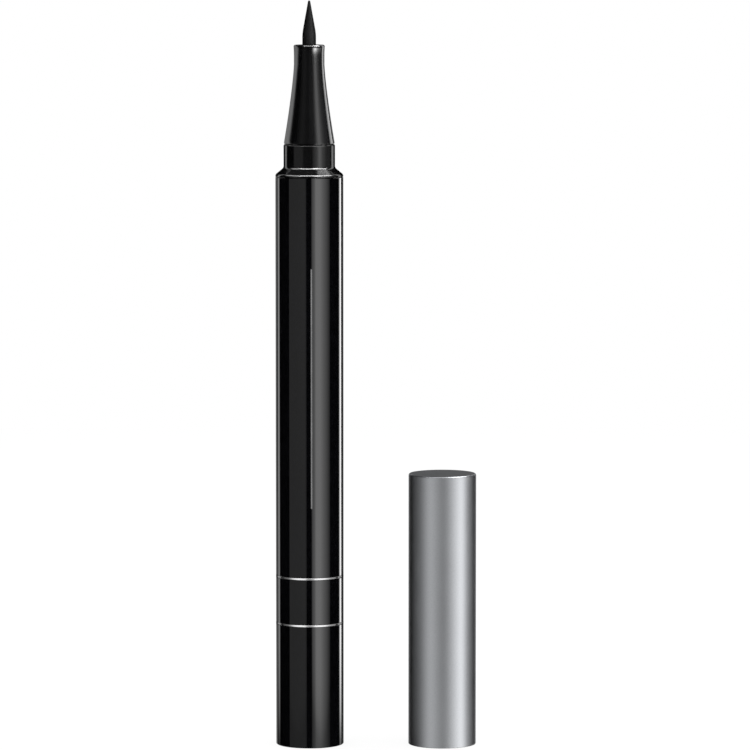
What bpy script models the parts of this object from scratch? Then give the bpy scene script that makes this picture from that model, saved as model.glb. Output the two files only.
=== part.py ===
# Liquid eyeliner pen standing on its tail, with its cap standing beside it on its mouth.
# Metres, +Z up. The origin is the centre of the pen's flat tail face.
# Round pieces are turned from outlines of (radius, height, corner rounding).

import bpy
import bmesh
import math
from mathutils import Matrix, Vector

for old in list(bpy.data.objects):
    bpy.data.objects.remove(old, do_unlink=True)

mm = 0.001

# Fits between pieces
fit_gap = 0.2 * mm              # all round, between one tube and the next
seat_gap = 0.3 * mm             # along the pen, between a piece and what it rests on
seam_gap = 0.1 * mm             # where a seam shows on the outside
merge_distance = 0.001 * mm

# Barrel
barrel_radius = 5.42 * mm
barrel_wall = 0.8 * mm
shoulder_height = 91.6 * mm    # tail face to the outer edge of the shoulder bevel
tail_rounding = 0.3 * mm
barrel_end_rounding = 0.08 * mm

# Silver bands let into the barrel
upper_band_height = 27.27 * mm
lower_band_height = 19.72 * mm
band_width = 0.34 * mm
band_thickness = 0.14 * mm
band_gap = 0.04 * mm

# Tail plug
plug_floor = 1.0 * mm
plug_skirt_length = 5.0 * mm
plug_skirt_wall = 0.8 * mm
plug_rounding = 0.15 * mm

# Ink tank and its ball
tank_wall = 0.5 * mm
tank_floor = 0.8 * mm
ball_radius = 2.0 * mm

# Partition in the tank's mouth
holder_plug_length = 3.3 * mm
holder_flange_thickness = 1.2 * mm
holder_recess_depth = 2.0 * mm
holder_recess_wall = 0.9 * mm

# Relay core, which runs from the tank to the nib
core_radius = 0.7 * mm
core_gap = 0.12 * mm
core_dip = 1.6 * mm             # how far the core stands out into the tank

# Finned collector round the core
collector_tube_wall = 0.65 * mm
fin_thickness = 0.9 * mm
fin_pitch = 1.8 * mm
slot_width = 0.7 * mm

# Neck collar
collar_stem_length = 25.6 * mm
collar_stem_wall = 0.8 * mm
collar_land = 0.3 * mm          # straight rim under the bevel
bevel_height = 1.07 * mm
bevel_rounding = 0.18 * mm
neck_foot_rounding = 0.15 * mm
neck_height = 3.8 * mm
neck_top_chamfer = 0.18 * mm
nozzle_stem_length = 7.6 * mm
nozzle_stem_wall = 0.8 * mm

# Nozzle
nozzle_step = 0.04 * mm         # the cone starts this much inside the neck
flare_length = 12.58 * mm
flare_power_share = 1.3         # 1 would be a straight cone
flare_steps = 7
nozzle_front_length = 3.12 * mm
lip_share = 0.432               # front face of the nozzle, from the nib's hole to the foot's radius
nozzle_lip_depth = 4.0 * mm
nozzle_front_rounding = 0.2 * mm

# Nib and its sleeve
nib_radius = 1.09 * mm
nib_clearance = 0.1 * mm
nib_exposed = 7.0 * mm
nib_taper_length = 5.2 * mm
nib_tip_radius = 0.16 * mm
nib_shoulder_rounding = 7.0 * mm
nib_root_depth = 14.1 * mm
sleeve_wall = 0.4 * mm
sleeve_foot_length = 2.8 * mm

# Cap
cap_offset = 21.27 * mm         # from the pen's axis to the cap's axis
cap_height = 43.73 * mm
shell_wall = 0.45 * mm
shell_top = 0.7 * mm
shell_top_rounding = 0.55 * mm
shell_mouth_rounding = 0.08 * mm
liner_wall = 0.52 * mm
guide_wall = 0.9 * mm           # of the liner round the inner cap
spring_room_wall = 0.4 * mm     # of the liner round the spring
liner_recess = 0.5 * mm         # from the cap's mouth up to the liner
liner_mouth_depth = 7.6 * mm
liner_lead_in = 0.2 * mm
neck_clearance = 0.15 * mm      # between the liner's bore and the neck
grip_bead = 0.08 * mm
grip_bead_height = 2.6 * mm
grip_bead_length = 0.8 * mm

# Inner cap and its spring
inner_cap_wall = 0.44 * mm
inner_cap_floor = 1.0 * mm
inner_cap_push = 1.5 * mm       # how far the nozzle lifts it when the cap is on
nib_room = 1.9 * mm             # over the nib's tip when the cap is on
spring_wire_radius = 0.25 * mm
spring_pitch = 1.8 * mm
spring_boss_height = 1.5 * mm
spring_boss_gap = 0.3 * mm
spring_points_per_turn = 9

# Facets
outer_steps = 48
inner_steps = 28
corner_steps = 2

# Radii that follow from the fits, outside to inside
barrel_bore = barrel_radius - barrel_wall
stem_radius = barrel_bore - fit_gap
stem_bore = stem_radius - collar_stem_wall
tank_radius = barrel_bore - fit_gap
tank_bore = tank_radius - tank_wall
core_bore = core_radius + core_gap
nib_bore = nib_radius + nib_clearance
sleeve_radius = nib_bore + sleeve_wall
nozzle_bore = sleeve_radius + fit_gap
nozzle_stem_radius = nozzle_bore + nozzle_stem_wall
neck_bore = nozzle_stem_radius + fit_gap

# The cap is flush with the barrel, and the neck takes what its walls leave
shell_bore = barrel_radius - shell_wall
liner_radius = shell_bore - fit_gap
liner_bore = liner_radius - liner_wall
neck_radius = liner_bore - neck_clearance
nozzle_base_radius = neck_radius - nozzle_step
nozzle_tip_radius = nib_bore + lip_share * (nozzle_base_radius - nib_bore)
guide_bore = liner_radius - guide_wall
spring_room = liner_radius - spring_room_wall
inner_cap_radius = guide_bore - fit_gap
flange_radius = spring_room - fit_gap
seal_radius = inner_cap_radius - inner_cap_wall

# Heights on the pen, tail to tip
barrel_top = shoulder_height - collar_land - seam_gap
collar_rim_foot = shoulder_height - collar_land
neck_foot = shoulder_height + bevel_height
neck_top = neck_foot + neck_height
nozzle_foot = neck_top + seam_gap
flare_top = nozzle_foot + flare_length
nozzle_top = flare_top + nozzle_front_length
nib_tip = nozzle_top + nib_exposed
stem_foot = shoulder_height - collar_stem_length
nozzle_stem_foot = neck_top - nozzle_stem_length
stem_ledge = nozzle_stem_foot - seat_gap
holder_top = stem_foot - seat_gap
tank_mouth = holder_top - holder_flange_thickness - seat_gap
holder_foot = tank_mouth + seat_gap - holder_plug_length
tank_foot = plug_floor + plug_skirt_length + seat_gap
ball_rest = tank_foot + tank_floor + seat_gap + ball_radius
nib_root = nozzle_top - nib_root_depth
core_top = nib_root - seat_gap

# Heights in the cap, mouth to top, measured as if the cap were on the pen
bevel_run = barrel_radius - neck_radius
seated_height = shoulder_height + bevel_height * shell_wall / bevel_run + seam_gap
shell_ceiling = cap_height - shell_top
seal_share = (seal_radius - nozzle_tip_radius) / (nozzle_base_radius - nozzle_tip_radius)
seal_height = flare_top - flare_length * seal_share ** (1 / flare_power_share) - seated_height
inner_cap_mouth = seal_height - inner_cap_push
inner_cap_ceiling = nib_tip - seated_height + nib_room - inner_cap_push
inner_cap_top = inner_cap_ceiling + inner_cap_floor
guide_ledge = inner_cap_ceiling - seat_gap
spring_foot = inner_cap_top + seat_gap
spring_head = shell_ceiling - seat_gap
spring_radius = seal_radius


def finish_material(name, color, roughness, metallic):
    material = bpy.data.materials.new(name)
    material.use_nodes = True
    shader = material.node_tree.nodes["Principled BSDF"]
    shader.inputs["Base Color"].default_value = (*color, 1.0)
    shader.inputs["Roughness"].default_value = roughness
    shader.inputs["Metallic"].default_value = metallic
    material.diffuse_color = (*color, 1.0)
    return material


def rounded(corners, closed):
    """Points of an outline whose corners are (radius, height, rounding), with each rounding made an arc."""
    points = []
    count = len(corners)
    for index, (radius, height, rounding) in enumerate(corners):
        here = Vector((radius, height))
        at_end = not closed and index in (0, count - 1)
        if rounding == 0 or at_end:
            points.append(here)
            continue
        back = Vector(corners[index - 1][:2]) - here
        ahead = Vector(corners[(index + 1) % count][:2]) - here
        half_turn = back.angle(ahead) / 2
        # A rounding never takes more than half of the shorter side beside it
        reach = min(rounding / math.tan(half_turn), back.length / 2, ahead.length / 2)
        rounding = reach * math.tan(half_turn)
        middle = here + (back.normalized() + ahead.normalized()).normalized() * rounding / math.sin(half_turn)
        start = here + back.normalized() * reach - middle
        sweep = start.angle_signed(here + ahead.normalized() * reach - middle)
        for step in range(corner_steps + 1):
            turn = Matrix.Rotation(-sweep * step / corner_steps, 2)
            points.append(middle + turn @ start)
    return points


def turned(name, outline, steps, material, closed=True, parent=None, height=0.0):
    """A solid turned about Z. A closed outline makes a tube, an open one runs from axis to axis."""
    mesh = bpy.data.meshes.new(name)
    work = bmesh.new()
    ring = [work.verts.new((point.x, 0, point.y)) for point in outline]
    edges = [work.edges.new(pair) for pair in zip(ring, ring[1:])]
    if closed:
        edges.append(work.edges.new((ring[-1], ring[0])))
    bmesh.ops.spin(work, geom=ring + edges, cent=(0, 0, 0), axis=(0, 0, 1), angle=math.tau,
                   steps=steps, use_merge=True)
    bmesh.ops.remove_doubles(work, verts=work.verts, dist=merge_distance)
    bmesh.ops.recalc_face_normals(work, faces=work.faces)
    work.to_mesh(mesh)
    work.free()
    mesh.shade_smooth()
    mesh.set_sharp_from_angle(angle=math.radians(30))
    return placed(name, mesh, material, parent, height)


def placed(name, data, material, parent=None, height=0.0):
    piece = bpy.data.objects.new(name, data)
    data.materials.append(material)
    piece.location.z = height
    piece.parent = parent
    bpy.context.collection.objects.link(piece)
    return piece


def axis_empty(name, x):
    empty = bpy.data.objects.new(name, None)
    empty.location.x = x
    bpy.context.collection.objects.link(empty)
    return empty


def flare_radius(height):
    """Outer radius of the nozzle's cone: hollow, widening faster towards its foot."""
    down_share = (flare_top - height) / flare_length
    return nozzle_tip_radius + (nozzle_base_radius - nozzle_tip_radius) * down_share ** flare_power_share


gloss_black = finish_material("gloss_black", (0.008, 0.008, 0.009), 0.08, 0.0)
satin_black = finish_material("satin_black", (0.012, 0.012, 0.013), 0.28, 0.0)
felt_black = finish_material("felt_black", (0.01, 0.01, 0.011), 0.85, 0.0)
bright_silver = finish_material("bright_silver", (0.82, 0.82, 0.83), 0.15, 1.0)
satin_silver = finish_material("satin_silver", (0.44, 0.45, 0.47), 0.36, 1.0)
milky_plastic = finish_material("milky_plastic", (0.72, 0.73, 0.70), 0.4, 0.0)
grey_plastic = finish_material("grey_plastic", (0.10, 0.10, 0.11), 0.45, 0.0)
soft_white = finish_material("soft_white", (0.80, 0.80, 0.78), 0.5, 0.0)
inked_fibre = finish_material("inked_fibre", (0.03, 0.03, 0.035), 0.9, 0.0)
steel = finish_material("steel", (0.60, 0.60, 0.61), 0.25, 1.0)


def make_barrel():
    corners = [
        (barrel_bore, barrel_top, 0),
        (barrel_radius, barrel_top, barrel_end_rounding),
    ]
    groove_radius = barrel_radius - band_thickness - band_gap
    groove_reach = band_width / 2 + band_gap
    for middle in (upper_band_height, lower_band_height):
        corners += [
            (barrel_radius, middle + groove_reach, 0),
            (groove_radius, middle + groove_reach, 0),
            (groove_radius, middle - groove_reach, 0),
            (barrel_radius, middle - groove_reach, 0),
        ]
    corners += [
        (barrel_radius, 0, tail_rounding),
        (barrel_bore, 0, 0),
    ]
    return turned("barrel", rounded(corners, True), outer_steps, gloss_black)


def make_band(name, middle):
    outer = barrel_radius
    inner = barrel_radius - band_thickness
    corners = [
        (inner, middle + band_width / 2, 0),
        (outer, middle + band_width / 2, 0),
        (outer, middle - band_width / 2, 0),
        (inner, middle - band_width / 2, 0),
    ]
    return turned(name, rounded(corners, True), outer_steps, bright_silver)


def make_tail_plug():
    outer = barrel_bore - fit_gap
    inner = outer - plug_skirt_wall
    top = plug_floor + plug_skirt_length
    corners = [
        (0, plug_floor, 0),
        (inner, plug_floor, plug_rounding),
        (inner, top, 0),
        (outer, top, plug_rounding),
        (outer, 0, plug_rounding),
        (0, 0, 0),
    ]
    return turned("tail_plug", rounded(corners, False), inner_steps, gloss_black, closed=False)


def make_ink_tank():
    floor = tank_foot + tank_floor
    corners = [
        (0, floor, 0),
        (tank_bore, floor, plug_rounding),
        (tank_bore, tank_mouth, 0),
        (tank_radius, tank_mouth, 0),
        (tank_radius, tank_foot, plug_rounding),
        (0, tank_foot, 0),
    ]
    return turned("ink_tank", rounded(corners, False), inner_steps, milky_plastic, closed=False)


def make_mixing_ball():
    mesh = bpy.data.meshes.new("mixing_ball")
    work = bmesh.new()
    bmesh.ops.create_uvsphere(work, u_segments=inner_steps // 2, v_segments=inner_steps // 3, radius=ball_radius)
    work.to_mesh(mesh)
    work.free()
    mesh.shade_smooth()
    return placed("mixing_ball", mesh, steel, height=ball_rest)


def make_feed_holder():
    plug_radius = tank_bore - fit_gap
    flange_foot = holder_top - holder_flange_thickness
    recess_top = holder_foot + holder_recess_depth
    corners = [
        (core_bore, holder_top, 0),
        (tank_radius, holder_top, plug_rounding),
        (tank_radius, flange_foot, 0),
        (plug_radius, flange_foot, 0),
        (plug_radius, holder_foot, plug_rounding),
        (plug_radius - holder_recess_wall, holder_foot, 0),
        (plug_radius - holder_recess_wall, recess_top, 0),
        (core_bore, recess_top, 0),
    ]
    return turned("feed_holder", rounded(corners, True), inner_steps, soft_white)


def make_collector():
    foot = holder_top + seat_gap
    top = stem_ledge - seat_gap
    tube = core_bore + collector_tube_wall
    fin = stem_bore - fit_gap
    fin_count = int((top - foot - fin_thickness) / fin_pitch) + 1
    corners = [(core_bore, top, 0)]
    for index in range(fin_count):
        fin_top = top - index * fin_pitch
        fin_foot = fin_top - fin_thickness
        if index > 0:
            corners.append((tube, fin_top, 0))
        corners.append((fin, fin_top, 0))
        corners.append((fin, fin_foot, 0))
        corners.append((tube, fin_foot, 0))
    corners += [(tube, foot, 0), (core_bore, foot, 0)]
    comb = turned("collector", rounded(corners, True), inner_steps, grey_plastic)
    # The air slot crosses every fin on one side and stops short of the tube
    cutter_mesh = bpy.data.meshes.new("collector_slot")
    work = bmesh.new()
    size = Matrix.Diagonal((fin, slot_width, top - foot + fin_pitch, 1))
    centre = Matrix.Translation((tube + fit_gap + fin / 2, 0, (top + foot) / 2))
    bmesh.ops.create_cube(work, size=1.0, matrix=centre @ size)
    work.to_mesh(cutter_mesh)
    work.free()
    cutter = bpy.data.objects.new("collector_slot", cutter_mesh)
    cutter.hide_render = True
    cutter.display_type = "WIRE"
    bpy.context.collection.objects.link(cutter)
    cut = comb.modifiers.new("air_slot", "BOOLEAN")
    cut.operation = "DIFFERENCE"
    cut.solver = "EXACT"
    cut.object = cutter
    return comb


def make_relay_core():
    foot = holder_foot + holder_recess_depth - core_dip
    corners = [
        (0, core_top, 0),
        (core_radius, core_top, plug_rounding),
        (core_radius, foot, plug_rounding),
        (0, foot, 0),
    ]
    return turned("relay_core", rounded(corners, False), inner_steps // 2, inked_fibre, closed=False)


def make_neck_collar():
    corners = [
        (neck_bore, neck_top, 0),
        (neck_radius - neck_top_chamfer, neck_top, 0),
        (neck_radius, neck_top - neck_top_chamfer, 0),
        (neck_radius, neck_foot, neck_foot_rounding),
        (barrel_radius, shoulder_height, bevel_rounding),
        (barrel_radius, collar_rim_foot, 0),
        (stem_radius, collar_rim_foot, 0),
        (stem_radius, stem_foot, plug_rounding),
        (stem_bore, stem_foot, 0),
        (stem_bore, stem_ledge, 0),
        (neck_bore, stem_ledge, 0),
    ]
    return turned("neck_collar", rounded(corners, True), outer_steps, satin_black)


def make_nozzle():
    lip_foot = nozzle_top - nozzle_lip_depth
    corners = [
        (nib_bore, nozzle_top, 0),
        (nozzle_tip_radius, nozzle_top, nozzle_front_rounding),
    ]
    for step in range(flare_steps + 1):
        height = flare_top - flare_length * step / flare_steps
        corners.append((flare_radius(height), height, 0))
    corners += [
        (nozzle_stem_radius, nozzle_foot, 0),
        (nozzle_stem_radius, nozzle_stem_foot, plug_rounding),
        (nozzle_bore, nozzle_stem_foot, 0),
        (nozzle_bore, lip_foot, 0),
        (nib_bore, lip_foot, 0),
    ]
    return turned("nozzle", rounded(corners, True), outer_steps, satin_black)


def make_nib_holder():
    top = nozzle_top - nozzle_lip_depth - seat_gap
    ledge = nib_root - seat_gap / 2
    foot = ledge - sleeve_foot_length
    corners = [
        (nib_bore, top, 0),
        (sleeve_radius, top, 0),
        (sleeve_radius, foot, plug_rounding),
        (core_bore, foot, 0),
        (core_bore, ledge, 0),
        (nib_bore, ledge, 0),
    ]
    return turned("nib_holder", rounded(corners, True), inner_steps, grey_plastic)


def make_nib():
    taper_foot = nib_tip - nib_taper_length
    corners = [
        (0, nib_tip, 0),
        (nib_tip_radius, nib_tip, nib_tip_radius),
        (nib_radius, taper_foot, nib_shoulder_rounding),
        (nib_radius, nib_root, nib_tip_radius),
        (0, nib_root, 0),
    ]
    return turned("nib", rounded(corners, False), inner_steps, felt_black, closed=False)


def make_cap_shell(stand):
    corners = [
        (0, cap_height, 0),
        (barrel_radius, cap_height, shell_top_rounding),
        (barrel_radius, 0, shell_mouth_rounding),
        (shell_bore, 0, shell_mouth_rounding),
        (shell_bore, shell_ceiling, shell_top_rounding - shell_mouth_rounding),
        (0, shell_ceiling, 0),
    ]
    return turned("cap_shell", rounded(corners, False), outer_steps, satin_silver, closed=False, parent=stand)


def make_cap_liner(stand):
    bead_radius = liner_bore - grip_bead
    bead_foot = liner_recess + grip_bead_height
    bead_top = bead_foot + grip_bead_length
    mouth_top = liner_recess + liner_mouth_depth - seat_gap
    corners = [
        (spring_room, spring_head, 0),
        (liner_radius, spring_head, plug_rounding),
        (liner_radius, liner_recess, 0),
        (liner_bore + liner_lead_in, liner_recess, 0),
        (liner_bore, liner_recess + liner_lead_in, 0),
        (liner_bore, bead_foot - grip_bead, 0),
        (bead_radius, bead_foot, 0),
        (bead_radius, bead_top, 0),
        (liner_bore, bead_top + grip_bead, 0),
        (liner_bore, mouth_top, 0),
        (guide_bore, mouth_top, 0),
        (guide_bore, guide_ledge, 0),
        (spring_room, guide_ledge, 0),
    ]
    return turned("cap_liner", rounded(corners, True), outer_steps, grey_plastic, parent=stand)


def make_inner_cap(stand):
    # Modelled above its own mouth, with its origin on the cap's axis at that height
    ceiling = inner_cap_ceiling - inner_cap_mouth
    top = inner_cap_top - inner_cap_mouth
    boss = spring_radius - spring_wire_radius - spring_boss_gap
    lip = inner_cap_wall / 3
    corners = [
        (0, top + spring_boss_height, 0),
        (boss, top + spring_boss_height, lip),
        (boss, top, 0),
        (flange_radius, top, lip),
        (flange_radius, ceiling, 0),
        (inner_cap_radius, ceiling, 0),
        (inner_cap_radius, 0, lip),
        (seal_radius + lip, 0, 0),
        (seal_radius, lip, 0),
        (seal_radius, ceiling, lip),
        (0, ceiling, 0),
    ]
    return turned("inner_cap", rounded(corners, False), inner_steps, soft_white, closed=False,
                  parent=stand, height=inner_cap_mouth)


def make_cap_spring(stand):
    foot = spring_foot + spring_wire_radius
    head = spring_head - spring_wire_radius
    turns = max(1, int((head - foot) / spring_pitch))
    count = turns * spring_points_per_turn
    points = []
    for index in range(count + 1):
        angle = math.tau * index / spring_points_per_turn
        height = foot + (head - foot) * index / count
        points.append(Vector((spring_radius * math.cos(angle), spring_radius * math.sin(angle), height)))
    curve = bpy.data.curves.new("cap_spring", "CURVE")
    curve.dimensions = "3D"
    curve.bevel_depth = spring_wire_radius
    curve.bevel_resolution = 1
    curve.use_fill_caps = True
    wire = curve.splines.new("POLY")
    wire.points.add(count)
    for slot, point in zip(wire.points, points):
        slot.co = (*point, 1)
    half_turn = spring_points_per_turn // 2
    least = min((a - b).length for i, a in enumerate(points) for b in points[i + half_turn:])
    print("cap_spring turns", turns, "least gap to itself mm", round((least - 2 * spring_wire_radius) / mm, 3))
    return placed("cap_spring", curve, steel, parent=stand)


make_barrel()
make_band("upper_band", upper_band_height)
make_band("lower_band", lower_band_height)
make_tail_plug()
make_ink_tank()
make_mixing_ball()
make_feed_holder()
make_collector()
make_relay_core()
make_neck_collar()
make_nozzle()
make_nib_holder()
make_nib()

cap_axis = axis_empty("cap_axis", cap_offset)
make_cap_shell(cap_axis)
make_cap_liner(cap_axis)
make_inner_cap(cap_axis)
make_cap_spring(cap_axis)
print("nib tip mm", round(nib_tip / mm, 2), "nozzle tip radius mm", round(nozzle_tip_radius / mm, 3))
print("cap seats at mm", round(seated_height / mm, 3), "inner cap mouth mm", round(inner_cap_mouth / mm, 3))
print("inner cap ceiling mm", round(inner_cap_ceiling / mm, 3), "spring head mm", round(spring_head / mm, 3))
print("ball rests at mm", round(ball_rest / mm, 3), "and can rise mm", round((holder_foot - ball_rest - ball_radius) / mm, 3))
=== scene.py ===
# Liquid eyeliner pen with its cap standing beside it: the finished pieces and the studio round them.
# Lengths in the dictionaries are millimetres unless a note says otherwise, heights are from the ground.

import bpy
import math
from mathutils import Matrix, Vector


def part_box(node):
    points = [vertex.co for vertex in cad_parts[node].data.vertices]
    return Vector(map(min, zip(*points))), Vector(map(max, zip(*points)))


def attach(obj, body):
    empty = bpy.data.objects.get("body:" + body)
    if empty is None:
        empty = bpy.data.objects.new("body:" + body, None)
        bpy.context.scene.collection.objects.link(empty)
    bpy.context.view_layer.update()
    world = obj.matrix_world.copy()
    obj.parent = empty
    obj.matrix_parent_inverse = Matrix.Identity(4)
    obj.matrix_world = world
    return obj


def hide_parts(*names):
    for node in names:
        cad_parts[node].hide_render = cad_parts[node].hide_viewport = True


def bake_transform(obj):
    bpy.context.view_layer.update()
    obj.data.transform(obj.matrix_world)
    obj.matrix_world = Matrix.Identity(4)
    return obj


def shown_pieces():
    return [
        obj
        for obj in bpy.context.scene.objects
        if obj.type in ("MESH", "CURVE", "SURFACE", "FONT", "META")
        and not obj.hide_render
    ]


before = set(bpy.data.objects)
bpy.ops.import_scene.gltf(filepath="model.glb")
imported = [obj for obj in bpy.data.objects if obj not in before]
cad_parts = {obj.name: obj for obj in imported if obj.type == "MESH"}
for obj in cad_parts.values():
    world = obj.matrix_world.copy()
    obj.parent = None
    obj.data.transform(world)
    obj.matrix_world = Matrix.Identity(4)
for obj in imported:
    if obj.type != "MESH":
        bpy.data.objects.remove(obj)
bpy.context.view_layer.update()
mm = 0.001
weld = 0.0005 * mm       # points closer than this become one
creaseAngle = 30         # degrees, an edge that turns more than this stays sharp
sideShare = 0.49         # of a side of an outline, the most that the rounding at one of its ends takes up


# the camera

view = {
    "spot": (10.47, -770.0, 129.0),
    "aim": (10.47, 0.0, 59.53),
    "widthSeen": 120.0,      # of the picture, at the aim point
    "sensor": 36.0,
    "clip": (0.01, 10.0),    # metres
}


def setCamera():
    spot, aim = Vector(view["spot"]), Vector(view["aim"])
    bpy.ops.object.camera_add(location=spot * mm)
    camera = bpy.context.object
    camera.rotation_euler = (aim - spot).to_track_quat("-Z", "Y").to_euler()
    camera.data.sensor_width = view["sensor"]
    camera.data.lens = view["sensor"] * (aim - spot).length / view["widthSeen"]
    camera.data.clip_start, camera.data.clip_end = view["clip"]
    bpy.context.scene.camera = camera


bpy.ops.object.select_all(action="DESELECT")
setCamera()


# pieces turned from an outline

def pick(piece, wanted, kind="VERT"):
    # leaves the piece in edit mode with only the wanted parts selected
    bpy.ops.object.mode_set(mode="EDIT")
    bpy.ops.mesh.select_mode(type=kind)
    bpy.ops.mesh.select_all(action="DESELECT")
    bpy.ops.object.mode_set(mode="OBJECT")
    parts = {"VERT": piece.data.vertices, "EDGE": piece.data.edges, "FACE": piece.data.polygons}[kind]
    for part in parts:
        part.select = bool(wanted(part))
    bpy.ops.object.mode_set(mode="EDIT")


def cornerReach(before, corner, after):
    # how far a corner's rounding runs along both its sides
    here = Vector(corner[:2])
    back, ahead = Vector(before[:2]) - here, Vector(after[:2]) - here
    share = corner[3] if len(corner) > 3 else sideShare
    return min(corner[2] / math.tan(back.angle(ahead) / 2), share * back.length, share * ahead.length)


def drawOutline(name, corners, closed, arcSteps):
    # a corner is (radius, height), followed by its rounding and by its own share of a side where it has them
    bpy.ops.object.select_all(action="DESELECT")
    radius, height = corners[0][:2]
    bpy.ops.mesh.primitive_plane_add(size=mm, location=(radius * mm, 0, height * mm))
    piece = bpy.context.object
    piece.name = piece.data.name = name
    bpy.ops.object.transform_apply(location=True, rotation=True, scale=True)
    bpy.ops.object.mode_set(mode="EDIT")
    bpy.ops.mesh.select_mode(type="VERT")
    bpy.ops.mesh.select_all(action="SELECT")
    bpy.ops.mesh.merge(type="CENTER")
    path = corners + corners[:1] if closed else corners
    for here, there in zip(path, path[1:]):
        step = ((there[0] - here[0]) * mm, 0, (there[1] - here[1]) * mm)
        bpy.ops.mesh.extrude_vertices_move(TRANSFORM_OT_translate={"value": step})
    bpy.ops.mesh.select_all(action="SELECT")
    bpy.ops.mesh.remove_doubles(threshold=weld)
    nearby = 4 * weld
    for index, corner in enumerate(corners):
        if len(corner) < 3 or corner[2] == 0:
            continue
        reach = cornerReach(corners[index - 1], corner, corners[(index + 1) % len(corners)])
        spot = Vector((corner[0] * mm, 0, corner[1] * mm))
        pick(piece, lambda vertex: (vertex.co - spot).length < nearby)
        bpy.ops.mesh.bevel(offset=reach * mm, segments=arcSteps, profile=0.5, affect="VERTICES")
    bpy.ops.object.mode_set(mode="OBJECT")
    return piece


def evenShading(piece):
    # long walls keep their own direction, and only the roundings beside them turn the light
    even = piece.modifiers.new("evenShading", "WEIGHTED_NORMAL")
    even.keep_sharp = True
    bpy.ops.object.modifier_apply(modifier=even.name)


def turnPiece(name, corners, closed=True, segments=96, arcSteps=4, axis=0.0, crease=creaseAngle):
    piece = drawOutline(name, corners, closed, arcSteps)
    bpy.ops.object.mode_set(mode="EDIT")
    bpy.ops.mesh.select_all(action="SELECT")
    bpy.ops.mesh.spin(steps=segments, angle=math.tau, center=(0, 0, 0), axis=(0, 0, 1), use_auto_merge=True)
    bpy.ops.mesh.select_all(action="SELECT")
    bpy.ops.mesh.remove_doubles(threshold=weld)
    bpy.ops.mesh.normals_make_consistent(inside=False)
    bpy.ops.transform.translate(value=(axis * mm, 0, 0))
    bpy.ops.object.mode_set(mode="OBJECT")
    bpy.ops.object.shade_smooth_by_angle(angle=math.radians(crease))
    evenShading(piece)
    return piece


def finishPiece(piece, body, node, finish):
    piece.data.materials.clear()
    piece.data.materials.append(finish)
    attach(piece, body)
    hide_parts(node)
    print("made", piece.name, len(piece.data.polygons), "faces")


def footOf(node):
    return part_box(node)[0].z / mm


def headOf(node):
    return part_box(node)[1].z / mm


def radiusOf(node):
    low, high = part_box(node)
    return (high.x - low.x) / 2 / mm


def axisOf(node):
    low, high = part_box(node)
    return (high.x + low.x) / 2 / mm


# finishes

# what a finish has where its own dictionary doesn't say otherwise
finishBase = {
    "metal": 0.0,
    "ior": 1.5,
    "depth": 0.0,                     # share of the light that goes under the surface
    "depthRadius": (0.8, 0.7, 0.6),   # how far it goes
    "sheen": 0.0,
    "sheenRoughness": 0.5,
    "stretch": (1, 1, 1),             # of the grain
    "grainDetail": 3,
    "driftDetail": 2,
    "driftShare": 0.4,
    "shadeSpan": (0.35, 0.65),        # noise levels that take the dark and the light colour
    "glossSpan": (0.3, 0.7),          # noise levels that take the two roughnesses
}


def grainFinish(name, own):
    # colour, gloss and surface all follow a fine grain and a slow drift
    look = {**finishBase, **own}
    material = bpy.data.materials.new(name)
    material.use_nodes = True
    tree = material.node_tree
    nodes, links = tree.nodes, tree.links
    shader = nodes["Principled BSDF"]
    shader.inputs["Metallic"].default_value = look["metal"]
    shader.inputs["IOR"].default_value = look["ior"]
    shader.inputs["Subsurface Weight"].default_value = look["depth"]
    shader.inputs["Subsurface Radius"].default_value = [radius * mm for radius in look["depthRadius"]]
    shader.inputs["Sheen Weight"].default_value = look["sheen"]
    shader.inputs["Sheen Roughness"].default_value = look["sheenRoughness"]
    place = nodes.new("ShaderNodeTexCoord")
    stretch = nodes.new("ShaderNodeMapping")
    stretch.inputs["Scale"].default_value = look["stretch"]
    links.new(place.outputs["Object"], stretch.inputs["Vector"])
    grain = nodes.new("ShaderNodeTexNoise")
    grain.inputs["Scale"].default_value = 1 / (look["grainSize"] * mm)
    grain.inputs["Detail"].default_value = look["grainDetail"]
    links.new(stretch.outputs["Vector"], grain.inputs["Vector"])
    drift = nodes.new("ShaderNodeTexNoise")
    drift.inputs["Scale"].default_value = 1 / (look["driftSize"] * mm)
    drift.inputs["Detail"].default_value = look["driftDetail"]
    links.new(place.outputs["Object"], drift.inputs["Vector"])
    blend = nodes.new("ShaderNodeMix")
    blend.inputs["Factor"].default_value = look["driftShare"]
    links.new(grain.outputs["Fac"], blend.inputs["A"])
    links.new(drift.outputs["Fac"], blend.inputs["B"])
    shade = nodes.new("ShaderNodeValToRGB")
    dark, light = shade.color_ramp.elements
    dark.position, light.position = look["shadeSpan"]
    dark.color = (*look["dark"], 1)
    light.color = (*look["light"], 1)
    links.new(blend.outputs["Result"], shade.inputs["Fac"])
    links.new(shade.outputs["Color"], shader.inputs["Base Color"])
    gloss = nodes.new("ShaderNodeMapRange")
    gloss.inputs["From Min"].default_value, gloss.inputs["From Max"].default_value = look["glossSpan"]
    gloss.inputs["To Min"].default_value, gloss.inputs["To Max"].default_value = look["roughness"]
    links.new(blend.outputs["Result"], gloss.inputs["Value"])
    links.new(gloss.outputs["Result"], shader.inputs["Roughness"])
    bump = nodes.new("ShaderNodeBump")
    bump.inputs["Strength"].default_value = 1.0
    bump.inputs["Distance"].default_value = look["bumpHeight"] * mm
    links.new(grain.outputs["Fac"], bump.inputs["Height"])
    links.new(bump.outputs["Normal"], shader.inputs["Normal"])
    return material


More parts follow.
